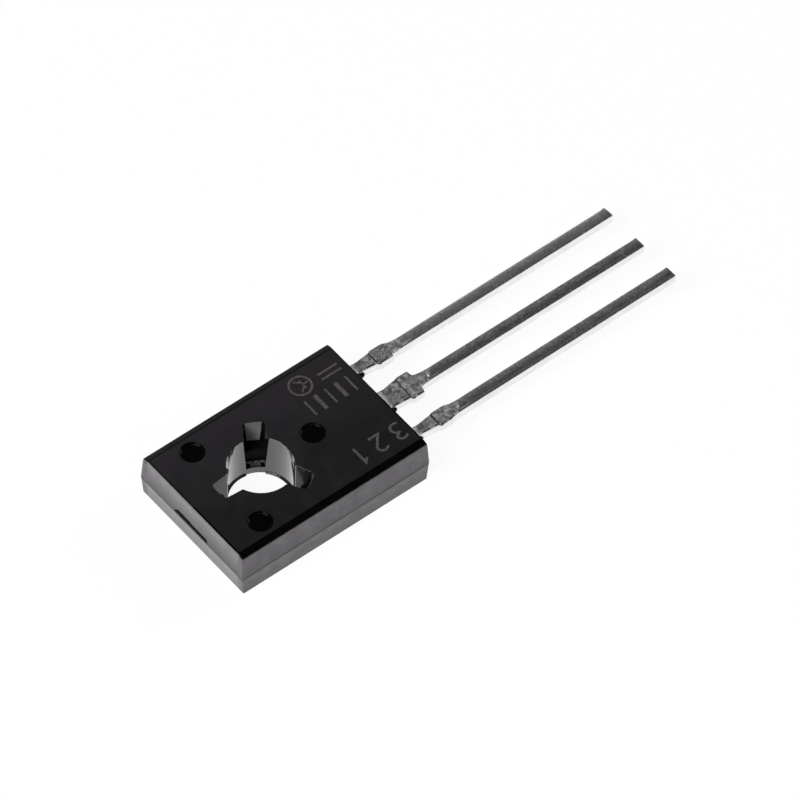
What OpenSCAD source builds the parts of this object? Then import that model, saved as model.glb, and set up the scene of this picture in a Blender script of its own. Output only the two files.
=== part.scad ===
// Flat three-lead power transistor, npn, with a screw hole through its moulding.
// The origin is the centre of the screw hole, on the back face. +Z leaves the marked face
// and the leads run along -Y. All sizes are in millimetres.

/* [Moulding] */
// Width of the moulding at its parting line
body_w = 7.42; // [7.4:0.02:7.8]
// Length of the moulding at its parting line
body_l = 10.7; // [10.6:0.05:10.8]
// Thickness of the moulding
body_t = 2.55; // [2.5:0.01:2.7]
// Height of the parting line above the back
parting_z = 1.15; // [1.12:0.01:1.2]
// Inset of the lower walls at the back, which is their draft
lower_draft = 0.08; // [0.05:0.005:0.15]
// Inset of the upper walls at the marked face
upper_draft = 0.115; // [0.08:0.005:0.15]
// Radius of the upright corners at the parting line
corner_r = 0.15; // [0.15:0.01:0.3]
// Width of the shallow bevel along both long edges of the marked face
bevel_w = 0.3; // [0.2:0.01:0.35]
// Depth of that bevel
bevel_h = 0.12; // [0.08:0.01:0.2]

/* [Screw hole] */
// Diameter of the screw hole
hole_d = 3.06; // [2.9:0.02:3.2]
// Distance from the hole's centre to the top end of the moulding
hole_to_end = 3.95; // [3.8:0.05:4]
// Height of the closed ring of moulding at the bottom of the hole
ring_h = 0.42; // [0.3:0.01:0.5]
// Number of notches that the mould's locating lugs leave around the hole
notch_count = 3; // [1:1:3]
// Distance from the hole's centre to the end wall of a notch
notch_r = 2.42; // [2.3:0.01:2.5]
// Width of a notch where it opens into the hole
notch_w_in = 1.08; // [0.9:0.01:1.1]
// Width of a notch at its end wall
notch_w_out = 0.94; // [0.8:0.01:1]

/* [Ejector dents] */
// Diameter of the three round ejector dents
dent_d = 1.08; // [0.9:0.01:1.2]
// Depth of the dents
dent_depth = 0.1; // [0.05:0.01:0.15]
// Distance of the two upper dents from the centre line
dent_x = 2.45; // [2.3:0.01:2.5]
// Distance of the two upper dents above the hole's centre
dent_y = 1.95; // [1.8:0.01:2.1]
// Distance of the lower dent below the hole's centre
dent_below = 2.96; // [2.8:0.01:3.1]

/* [Gate mark] */
// Length of the torn gate mark on the top end
gate_w = 2.5; // [2:0.1:2.8]
// Height of the gate mark above the parting line
gate_h = 0.3; // [0.2:0.01:0.35]
// Depth of the gate mark
gate_depth = 0.06; // [0.03:0.01:0.08]

/* [Heat spreader] */
// Thickness of the heat spreader
plate_t = 1.34; // [1.3:0.01:1.4]
// Width of the heat spreader inside the moulding
plate_w = 6.1; // [5.8:0.1:6.2]
// Distance from the hole's centre to the spreader's top edge
plate_above = 2.95; // [2.8:0.05:3]
// Distance from the hole's centre to the spreader's bottom edge
plate_below = 4.9; // [4.8:0.05:5]
// Diameter of the punched hole in the spreader
plate_hole_d = 3.62; // [3.5:0.02:3.7]
// Step between the spreader's edge and the smaller pad that shows at the back
lock_step = 0.32; // [0.2:0.02:0.4]
// Height of that step above the back
lock_h = 0.42; // [0.3:0.01:0.6]

/* [Leads] */
// Distance between neighbouring leads
lead_pitch = 2.2; // [2.15:0.01:2.3]
// Thickness of the leads
lead_t = 0.48; // [0.4:0.01:0.5]
// Height of the leads' upper face above the back
lead_top = 1.49; // [1.45:0.01:1.55]
// Width of the long part of each lead
lead_w = 0.66; // [0.6:0.01:0.7]
// Length of the leads outside the moulding
lead_l = 15.28; // [15.2:0.02:15.5]
// Distance from the moulding to the crease across each lead
crease_at = 1.5; // [1.4:0.05:1.6]
// Distance from the moulding to the end of the shoulder
shoulder_end = 2.2; // [2.1:0.05:2.3]
// Widths of the outer leads: at the moulding, at the crease and at the shoulder
outer_w = [0.56, 0.75, 0.88];
// Widths of the centre lead: at the moulding, at the crease and at the shoulder
centre_w = [1.05, 1.2, 1.35];

/* [Die and bond wires] */
// Side of the square die
die_w = 1.7; // [1.4:0.1:1.8]
// Thickness of the die
die_t = 0.28; // [0.2:0.01:0.3]
// Thickness of the solder under the die
solder_t = 0.05; // [0.03:0.01:0.06]
// Diameter of the emitter's bond wire
emitter_wire_d = 0.25; // [0.2:0.01:0.3]
// Diameter of the base's bond wire
base_wire_d = 0.18; // [0.12:0.01:0.2]
// Rise of the bond wires above their two ends
wire_rise = 0.42; // [0.3:0.01:0.45]

/* [Hidden] */
$fn = 72;

body_colour = "#222225";
tin_colour = "#9c9b9b";
solder_colour = "#b9bcbf";
die_colour = "#5b6670";
wire_colour = "#d3d4d6";

hole_r = hole_d / 2;
body_top = hole_to_end;
body_exit = hole_to_end - body_l;
body_mid = (body_top + body_exit) / 2;
lead_z = lead_top - lead_t;
lead_tip = body_exit - lead_l;
crease_y = body_exit - crease_at;
shoulder_y = body_exit - shoulder_end;
cut = 0.5;

// Bond posts at the inner ends of the outer leads
post_in = 5.3;
post_out = 6.15;
post_side = [0.95, 3.05];
post_lock = [2.78, 5.72];
post_lock_d = 0.36;

// Where the die lies and where the wires land, for the emitter side
die_at = [0, -3.6];
emitter_pad = [-0.4, -3.75];
emitter_post = [-1.55, -5.72];
base_pad = [0.5, -4.05];
base_post = [1.6, -5.72];
die_z = plate_t + solder_t;
die_top = die_z + die_t;

// A rounded rectangle from two corners, with true arcs
module rounded_field(x0, x1, y0, y1, r) {
    translate([x0 + r, y0]) square([x1 - x0 - 2 * r, y1 - y0]);
    translate([x0, y0 + r]) square([x1 - x0, y1 - y0 - 2 * r]);
    for (x = [x0 + r, x1 - r], y = [y0 + r, y1 - r])
        translate([x, y]) circle(r);
}

// One mould half: four upright corner cones with the drafted walls between them
module mould_half(z0, z1, inset0, inset1) {
    hull()
        for (sx = [-1, 1], sy = [-1, 1])
            translate([sx * (body_w / 2 - corner_r),
                       body_mid + sy * (body_l / 2 - corner_r), z0])
                cylinder(h = z1 - z0, r1 = corner_r - inset0, r2 = corner_r - inset1, $fn = 32);
}

// The shallow bevel that runs along both long edges of the marked face
module edge_bevels() {
    side = body_w / 2 - upper_draft;
    for (s = [0, 1])
        mirror([s, 0, 0])
            translate([0, body_top + cut, 0])
                rotate([90, 0, 0])
                    linear_extrude(body_l + 2 * cut)
                        polygon([[side - bevel_w, body_t],
                                 [side + 0.02, body_t - bevel_h],
                                 [side + 1, body_t - bevel_h],
                                 [side + 1, body_t + 1],
                                 [side - bevel_w, body_t + 1]]);
}

// The plan of one notch, which narrows slightly towards its end wall at radius r
module notch_plan(r) {
    intersection() {
        polygon([[0, -notch_w_in / 2],
                 [hole_r, -notch_w_in / 2],
                 [notch_r + cut, -notch_w_out / 2],
                 [notch_r + cut, notch_w_out / 2],
                 [hole_r, notch_w_in / 2],
                 [0, notch_w_in / 2]]);
        circle(r);
    }
}

// The notches: down to the spreader's upper face, and inside its hole down to the closed ring
module notches() {
    for (i = [0 : notch_count - 1])
        rotate(90 + i * 120) {
            translate([0, 0, plate_t])
                linear_extrude(body_t) notch_plan(notch_r);
            translate([0, 0, ring_h])
                linear_extrude(body_t) notch_plan(plate_hole_d / 2);
        }
}

module ejector_dents() {
    for (at = [[dent_x, dent_y], [-dent_x, dent_y], [0, -dent_below]])
        translate([at[0], at[1], body_t - dent_depth])
            cylinder(h = 1, d = dent_d);
}

// The torn mark above the parting line where the gate of the mould broke away
module gate_mark() {
    translate([0.06, body_top + cut, 0])
        rotate([90, 0, 0])
            linear_extrude(cut + gate_depth)
                polygon([[-gate_w / 2, parting_z],
                         [gate_w / 2, parting_z],
                         [gate_w / 2 - 0.3, parting_z + gate_h],
                         [-gate_w / 2 + 0.1, parting_z + 0.75 * gate_h]]);
}

// Thin flash of moulding compound left against the leads where they come out
module lead_flash() {
    neck = centre_w[0] / 2;
    outer = lead_pitch - outer_w[0] / 2;
    z0 = lead_z + 0.04;
    translate([0, 0, z0])
        linear_extrude(lead_t - 0.08) {
            polygon([[neck, body_exit + 0.1], [neck + 0.13, body_exit + 0.1],
                     [neck + 0.12, body_exit - 0.7], [neck, body_exit - 0.74]]);
            polygon([[-neck, body_exit + 0.1], [-neck - 0.14, body_exit + 0.1],
                     [-neck - 0.1, body_exit - 0.45], [-neck, body_exit - 0.55]]);
            polygon([[outer, body_exit + 0.1], [outer - 0.24, body_exit + 0.1],
                     [outer - 0.16, body_exit - 0.4], [outer, body_exit - 0.75]]);
        }
}

module moulded_body() {
    color(body_colour)
        difference() {
            union() {
                difference() {
                    union() {
                        mould_half(0, parting_z, lower_draft, 0);
                        mould_half(parting_z, body_t, 0, upper_draft);
                    }
                    edge_bevels();
                }
                lead_flash();
            }
            translate([0, 0, -cut]) cylinder(h = body_t + 2 * cut, r = hole_r);
            notches();
            ejector_dents();
            gate_mark();
            collector_frame();
            emitter_lead();
            base_lead();
            die_solder();
            silicon_die();
            emitter_wire();
            base_wire();
        }
}

// Half of a lead's plan outside the moulding, from the exit to the tip: [x, y] pairs.
// The neck widens to the crease, steps out to the shoulder and runs in to the long part.
function half_plan(w, run, root) = concat(
    [[w[0] / 2, root],
     [w[0] / 2, body_exit - 0.9],
     [w[1] / 2, crease_y],
     [w[2] / 2, crease_y - 0.08],
     [w[2] / 2, shoulder_y]],
    [for (a = [0 : 15 : 90])
        [lead_w / 2 + (w[2] / 2 - lead_w / 2 - 0.06) * (1 - sin(a)),
         shoulder_y - run * (1 - cos(a)) - 0.05]],
    [[lead_w / 2, lead_tip]]);

// The full plan of a lead, from its half and that half's mirror image
module lead_plan(w, run, root) {
    half = half_plan(w, run, root);
    last = len(half) - 1;
    polygon(concat(half, [for (i = [last : -1 : 0]) [-half[i][0], half[i][1]]]));
}

// The part of the spreader's plan that lies inset from its edge
module plate_plan(inset) {
    rounded_field(-plate_w / 2 + inset, plate_w / 2 - inset,
                  -plate_below + inset, plate_above - inset, 0.3);
}

// The side view of the centre lead, which steps up from the spreader to the leads' level
module collector_step() {
    drop = lead_top - plate_t;
    rise_y = -plate_below - 0.4;
    translate([-1, 0, 0])
        rotate([90, 0, 90])
            linear_extrude(2)
                polygon([[-plate_below + 0.3, plate_t],
                         [-plate_below, plate_t],
                         [rise_y, lead_top],
                         [lead_tip - 1, lead_top],
                         [lead_tip - 1, lead_z],
                         [rise_y, lead_z],
                         [-plate_below, lead_z - drop],
                         [-plate_below + 0.3, lead_z - drop]]);
}

module collector_frame() {
    color(tin_colour)
        difference() {
            union() {
                linear_extrude(lock_h) plate_plan(lock_step);
                translate([0, 0, lock_h])
                    linear_extrude(plate_t - lock_h) plate_plan(0);
                intersection() {
                    linear_extrude(lead_top + 1)
                        lead_plan(centre_w, 0.32, -plate_below + 0.3);
                    collector_step();
                }
            }
            translate([0, 0, -cut]) cylinder(h = plate_t + 2 * cut, d = plate_hole_d);
        }
}

// An outer lead on the +X side, with its bond post and the hole that locks it in the moulding
module outer_lead() {
    translate([0, 0, lead_z]) {
        linear_extrude(lead_t)
            translate([lead_pitch, 0]) lead_plan(outer_w, 0.3, -post_in - 0.2);
        linear_extrude(lead_t)
            difference() {
                rounded_field(post_side[0], post_side[1], -post_out, -post_in, 0.2);
                translate([post_lock[0], -post_lock[1]]) circle(d = post_lock_d);
            }
    }
}

module emitter_lead() {
    color(tin_colour) mirror([1, 0, 0]) outer_lead();
}

module base_lead() {
    color(tin_colour) outer_lead();
}

module die_solder() {
    side = die_w + 0.1;
    color(solder_colour)
        translate([die_at[0] - side / 2, die_at[1] - side / 2, plate_t])
            cube([side, side, solder_t]);
}

module silicon_die() {
    color(die_colour)
        translate([die_at[0] - die_w / 2, die_at[1] - die_w / 2, die_z])
            cube([die_w, die_w, die_t]);
}

// A bond wire from the die at a to the post at b: an arch whose two ends stand upright on
// their pads and are pressed a little wider than the wire
module bond_wire(a, b, d) {
    sides = 10;
    steps = 12;
    span = norm(b - a);
    along = (b - a) / span;
    across = [-along[1], along[0], 0];
    rings = [for (i = [0 : steps])
        let (t = 180 * i / steps,
             u = (1 - cos(t)) / 2,
             centre = [a[0] + (b[0] - a[0]) * u,
                       a[1] + (b[1] - a[1]) * u,
                       die_top + (lead_top - die_top) * u + wire_rise * sin(t)],
             run = span * sin(t) / 2,
             climb = (lead_top - die_top) * sin(t) / 2 + wire_rise * cos(t),
             pace = norm([run, climb]),
             over = [-along[0] * climb / pace, -along[1] * climb / pace, run / pace],
             r = d / 2 * (1 + 0.35 * pow(abs(cos(t)), 20)))
        [for (k = [0 : sides - 1])
            let (f = 360 * k / sides) centre + r * (cos(f) * across + sin(f) * over)]];
    points = [for (ring = rings) for (p = ring) p];
    walls = [for (i = [0 : steps - 1], k = [0 : sides - 1])
        let (n = (k + 1) % sides, p = i * sides, q = p + sides)
        each [[p + k, q + k, q + n], [p + k, q + n, p + n]]];
    caps = [[for (k = [0 : sides - 1]) k],
            [for (k = [sides - 1 : -1 : 0]) steps * sides + k]];
    polyhedron(points = points, faces = concat(walls, caps));
}

module emitter_wire() {
    color(wire_colour) bond_wire(emitter_pad, emitter_post, emitter_wire_d);
}

module base_wire() {
    color(wire_colour) bond_wire(base_pad, base_post, base_wire_d);
}

moulded_body();
collector_frame();
emitter_lead();
base_lead();
die_solder();
silicon_die();
emitter_wire();
base_wire();
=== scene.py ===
"""Looks of a flat three-lead power transistor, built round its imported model.

The frame is the model's own: the origin is the centre of the screw hole on the back face, +Z
leaves the marked face and the leads run along -Y. Sizes in the classes are millimetres, and
meshes are written in metres.
"""

import logging
import math
from dataclasses import dataclass, field
from enum import IntEnum

import bmesh
import bpy
import numpy as np
from mathutils import Matrix, Vector, geometry


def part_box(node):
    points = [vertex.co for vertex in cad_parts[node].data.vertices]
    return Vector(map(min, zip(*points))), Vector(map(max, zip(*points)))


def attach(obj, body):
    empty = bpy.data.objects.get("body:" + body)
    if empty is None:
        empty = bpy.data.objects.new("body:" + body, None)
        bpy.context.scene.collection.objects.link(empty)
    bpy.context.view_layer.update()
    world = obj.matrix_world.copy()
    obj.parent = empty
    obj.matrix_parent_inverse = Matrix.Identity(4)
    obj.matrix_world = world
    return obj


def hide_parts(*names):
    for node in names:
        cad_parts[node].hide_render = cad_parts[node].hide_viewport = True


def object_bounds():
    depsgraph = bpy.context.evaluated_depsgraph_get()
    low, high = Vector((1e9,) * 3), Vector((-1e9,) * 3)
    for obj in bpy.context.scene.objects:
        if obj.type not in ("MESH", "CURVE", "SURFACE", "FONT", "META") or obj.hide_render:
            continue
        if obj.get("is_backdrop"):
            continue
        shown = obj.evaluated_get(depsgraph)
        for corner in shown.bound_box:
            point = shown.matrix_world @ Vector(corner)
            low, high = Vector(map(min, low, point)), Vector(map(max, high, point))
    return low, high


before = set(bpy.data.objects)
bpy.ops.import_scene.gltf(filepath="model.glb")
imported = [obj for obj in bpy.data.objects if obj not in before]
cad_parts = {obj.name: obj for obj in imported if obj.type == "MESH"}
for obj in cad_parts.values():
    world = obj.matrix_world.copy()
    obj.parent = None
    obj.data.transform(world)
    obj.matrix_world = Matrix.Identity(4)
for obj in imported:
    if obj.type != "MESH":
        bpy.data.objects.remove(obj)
CAD_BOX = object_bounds()
MM = 0.001
BODY_LENGTH = 10.7
LEAD_PITCH = 2.2
LOG = logging.getLogger("transistor")

Pair = tuple[float, float]
Triple = tuple[float, float, float]
Socket = bpy.types.NodeSocket
Entry = Socket | float | tuple[float, ...]


class Direction(IntEnum):
    """Which side of the centre line a lead is on, as the sign of X."""

    EMITTER_SIDE = -1
    MIDDLE = 0
    BASE_SIDE = 1


class MouldZone(IntEnum):
    """Regions of the moulding whose skin looks different. The end walls, the notch ends and the +X
    bevel are paler copies that carry painted light.
    """

    FACE = 0
    UPPER_WALL = 1
    LOWER_WALL = 2
    BORE = 3
    MARK = 4
    GATE = 5
    POLISHED = 6
    NOTCH_END = 7
    END_WALL = 8
    FAR_BEVEL = 9
    NOTCH_SIDE = 10


class LeadZone(IntEnum):
    """Regions of the leads and the heat spreader that look different. The crease zone is painted
    shade, the side and neck zones are paler tin with painted light, and the film zone is a
    near-black sheet of painted dark reflection.
    """

    TIN = 0
    PUNCHED = 1
    PAINTED_DARK_FILM = 2
    PAINTED_SHADE = 3
    SHOULDER = 4
    SIDE = 5
    NECK = 6


# ---- Plane outlines and profiles ----


def blend(low: float, high: float, at: np.ndarray) -> np.ndarray:
    """Smooth step: 0 below low, 1 above high and 3t^2 - 2t^3 between them.

    Args:
        low: Where the step starts.
        high: Where it ends.
        at: Places to evaluate.

    Returns:
        The step's value at each place.
    """
    t = np.clip((at - low) / (high - low), 0.0, 1.0)
    return t * t * (3.0 - 2.0 * t)


def ripple(x: np.ndarray, y: np.ndarray, wave: float, seed: float) -> np.ndarray:
    """Fixed irregular field in -1..1: a sum of sine waves whose headings turn by 137 degrees.

    Args:
        x: First coordinate, in millimetres.
        y: Second coordinate, in millimetres.
        wave: Longest wavelength of the sum.
        seed: Phase that makes one field differ from the next.

    Returns:
        The field at each place.
    """
    total = np.zeros(np.broadcast(x, y).shape)
    for k in range(6):
        heading = seed + 2.4 * k
        pitch = 2.0 * math.pi / (wave / (1.0 + 0.45 * k))
        total += np.sin(pitch * (x * math.cos(heading) + y * math.sin(heading)) + 3.1 * k + seed)
    return total / 6.0


def shares(count: int) -> np.ndarray:
    """Even steps from 0 that stop one step short of 1."""
    return np.linspace(0.0, 1.0, count, endpoint=False)


def ray(angle: np.ndarray | float) -> np.ndarray:
    """Unit vectors at those angles from +X."""
    return np.stack([np.cos(angle), np.sin(angle)], -1)


def arc_shares(count: int) -> tuple[np.ndarray, np.ndarray]:
    """Along a quarter arc, what is left of its first leg and what is used of its second."""
    quarter = np.linspace(0.0, math.pi / 2.0, count)
    return 1.0 - np.sin(quarter), 1.0 - np.cos(quarter)


def at_height(plan: np.ndarray, z: np.ndarray) -> np.ndarray:
    """Rows of plane points, with each row at its own height."""
    return np.concatenate([plan, np.broadcast_to(z[:, None, None], (*plan.shape[:2], 1))], -1)


def rounded_path(corners: list[Pair], radii: list[float], spacing: float,
                 steps: int = 5) -> np.ndarray:
    """A polyline whose inner corners are arcs and whose legs are divided evenly.

    An arc of radius r at a corner that turns by a starts r * tan(a / 2) before the corner,
    along the leg, and its centre is r to the side that the path turns to.

    Args:
        corners: The path's corners in order.
        radii: One radius for each inner corner.
        spacing: Longest step along a straight leg.
        steps: Number of steps in each arc.

    Returns:
        The points, as an array of shape (points, 2).
    """
    at = np.array(corners, float)
    legs = np.diff(at, axis=0)
    ways = legs / np.linalg.norm(legs, axis=1)[:, None]
    turns = np.arctan2(ways[:-1, 0] * ways[1:, 1] - ways[:-1, 1] * ways[1:, 0],
                       (ways[:-1] * ways[1:]).sum(1))
    touch = np.array(radii) * np.tan(np.abs(turns) / 2.0)
    pieces = []
    start = at[0]
    for k, turn in enumerate(turns):
        end = at[k + 1] - ways[k] * touch[k]
        count = max(1, math.ceil(np.linalg.norm(end - start) / spacing))
        pieces.append(start + shares(count)[:, None] * (end - start))
        side = math.copysign(1.0, turn) * np.array([-ways[k][1], ways[k][0]])
        centre = end + side * radii[k]
        angles = turn * shares(steps)
        arm = end - centre
        pieces.append(centre + np.stack([arm[0] * np.cos(angles) - arm[1] * np.sin(angles),
                                         arm[0] * np.sin(angles) + arm[1] * np.cos(angles)], -1))
        start = at[k + 1] + ways[k + 1] * touch[k]
    count = max(1, math.ceil(np.linalg.norm(at[-1] - start) / spacing))
    pieces.append(start + np.linspace(0.0, 1.0, count + 1)[:, None] * (at[-1] - start))
    return np.concatenate(pieces)


def rounded_rectangle(half_x: np.ndarray, low_y: np.ndarray, high_y: np.ndarray,
                      radius: np.ndarray, along_x: int, along_y: int, arc: int = 8) -> np.ndarray:
    """Closed outlines of rounded rectangles, one for each row, anticlockwise from the +X side.

    Each side is a straight run between its two corner arcs, and every row has the same
    number of points in each run and arc, so rows join into a surface.

    Args:
        half_x: Half of each rectangle's width.
        low_y: Each rectangle's lower edge.
        high_y: Each rectangle's upper edge.
        radius: Each rectangle's corner radius.
        along_x: Points along the two edges that run in X.
        along_y: Points along the two edges that run in Y.
        arc: Points along each corner.

    Returns:
        An array of shape (rows, points, 2).
    """
    half_x, low_y, high_y, radius = (np.asarray(a, float)[:, None]
                                     for a in (half_x, low_y, high_y, radius))
    pieces = []
    sides = ((1, -1), (1, 1), (-1, 1), (-1, -1))
    for turn, run in enumerate((along_y, along_x, along_y, along_x)):
        centre, ahead = (
            np.stack([sx * (half_x - radius), high_y - radius if sy > 0 else low_y + radius], -1)
            for sx, sy in (sides[turn], sides[(turn + 1) % 4]))
        angle = math.pi / 2.0 * turn
        out = ray(angle) * radius[..., None]
        pieces.append(centre + out + shares(run)[None, :, None] * (ahead - centre))
        bend = angle + math.pi / 2.0 * shares(arc)
        pieces.append(ahead + ray(bend)[None] * radius[..., None])
    return np.concatenate(pieces, axis=1)


def circle(radius: float, count: int, centre: Pair = (0.0, 0.0)) -> np.ndarray:
    """Points round a circle, anticlockwise, as an array of shape (count, 2)."""
    angle = np.linspace(0.0, 2.0 * math.pi, count, endpoint=False)
    return np.array(centre) + radius * ray(angle)


def inside(points: np.ndarray, loops: list[np.ndarray]) -> np.ndarray:
    """Even-odd test: a point is inside if a ray from it along +X crosses the loops oddly.

    Args:
        points: Points to test, of shape (count, 2).
        loops: Closed outlines.

    Returns:
        One boolean for each point.
    """
    start = np.concatenate(loops)
    end = np.concatenate([np.roll(loop, -1, axis=0) for loop in loops])
    px, py = points[:, :1], points[:, 1:]
    spans = (start[:, 1] > py) != (end[:, 1] > py)
    rise = np.where(end[:, 1] == start[:, 1], 1.0, end[:, 1] - start[:, 1])
    cross = start[:, 0] + (py - start[:, 1]) / rise * (end[:, 0] - start[:, 0])
    return (spans & (px < cross)).sum(1) % 2 == 1


# ---- Meshes ----


def stand(name: str, data: bpy.types.ID, place: Matrix) -> bpy.types.Object:
    """Puts a new object with that data into the scene."""
    made = bpy.data.objects.new(name, data)
    bpy.context.scene.collection.objects.link(made)
    made.matrix_world = place
    return made


class MeshDraft:
    """Collects surface patches in millimetres and welds them into one mesh."""

    def __init__(self) -> None:
        """Starts with no patches."""
        self.points: list[np.ndarray] = []
        self.faces: list[list[int]] = []
        self.zones: list[np.ndarray] = []
        self.count = 0

    def add(self, points: np.ndarray, faces: np.ndarray, zones: np.ndarray) -> None:
        """Adds points of shape (n, 3), faces that index them and each face's zone."""
        self.points.append(points)
        self.faces.extend((faces + self.count).tolist())
        self.zones.append(zones)
        self.count += len(points)

    def add_grid(self, grid: np.ndarray, zones: np.ndarray | int = 0) -> None:
        """Adds a surface given as rows of points, whose last column joins the first.

        Args:
            grid: The points, of shape (rows, columns, 3).
            zones: One zone, or one for each quad, of shape (rows - 1, columns).
        """
        rows, columns = grid.shape[:2]
        index = np.arange(rows * columns).reshape(rows, columns)
        ahead = np.roll(index, -1, axis=1)
        quads = np.stack([index[:-1], ahead[:-1], ahead[1:], index[1:]], -1)
        zone = np.broadcast_to(zones, quads.shape[:2])
        self.add(grid.reshape(-1, 3), quads.reshape(-1, 4), zone.ravel())

    def add_field(self, height: float, loops: list[np.ndarray], zone: int = 0,
                  shapes: list[list[np.ndarray]] | None = None, shape_zone: int = 0) -> None:
        """Fills a flat field between closed loops with triangles that keep every loop's edges.

        Args:
            height: Z of the field.
            loops: The field's outer loop and its holes.
            zone: Zone of the field.
            shapes: Loop groups drawn on the field, each group one shape.
            shape_zone: Zone of what lies inside a shape.
        """
        shapes = shapes or []
        drawn = list(loops) + [loop for group in shapes for loop in group]
        sizes = [len(loop) for loop in drawn]
        starts = np.cumsum([0] + sizes[:-1])
        edges = np.concatenate([np.stack([s + np.arange(n), s + (np.arange(n) + 1) % n], -1)
                                for s, n in zip(starts, sizes)])
        flat = [Vector(p) for p in np.concatenate(drawn).tolist()]
        made = geometry.delaunay_2d_cdt(flat, edges.tolist(), [], 0, 1e-6, False)
        spots = np.array([tuple(v) for v in made[0]])
        triangles = np.array(made[2])
        middles = spots[triangles].mean(1)
        kept = inside(middles, list(loops))
        triangles, middles = triangles[kept], middles[kept]
        marked = np.zeros(len(triangles), bool)
        for group in shapes:
            marked |= inside(middles, group)
        points = np.column_stack([spots, np.full(len(spots), height)])
        self.add(points, triangles, np.where(marked, shape_zone, zone))

    def build(self, name: str, slot: str, replaced: str, materials: list[bpy.types.Material],
              weld: float = 0.0004) -> bpy.types.Object:
        """Makes the object, rides it on the root body and stands it in for a CAD node.

        Args:
            name: Name of the piece.
            slot: Not used.
            replaced: The CAD node that the piece stands for.
            materials: The piece's finishes, in the order of its zones.
            weld: Distance in millimetres within which points are one.

        Returns:
            The finished object.
        """
        mesh = bpy.data.meshes.new(name)
        mesh.from_pydata(np.concatenate(self.points) * MM, [], self.faces)
        mesh.polygons.foreach_set("material_index", np.concatenate(self.zones).astype(np.int32))
        work = bmesh.new()
        work.from_mesh(mesh)
        bmesh.ops.remove_doubles(work, verts=work.verts, dist=weld * MM)
        loose = [v for v in work.verts if not v.link_faces]
        bmesh.ops.delete(work, geom=loose, context="VERTS")
        bmesh.ops.recalc_face_normals(work, faces=work.faces)
        open_edges = sum(1 for e in work.edges if not e.is_manifold)
        work.to_mesh(mesh)
        work.free()
        mesh.shade_smooth()
        for material in materials:
            mesh.materials.append(material)
        piece = stand(name, mesh, Matrix())
        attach(piece, "root")
        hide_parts(replaced)
        LOG.info("%s: %d faces, %d open edges", name, len(mesh.polygons), open_edges)
        return piece


# ---- Finishes ----


def grey(level: float) -> Triple:
    """A colour with the same level in red, green and blue."""
    return (level, level, level)



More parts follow.
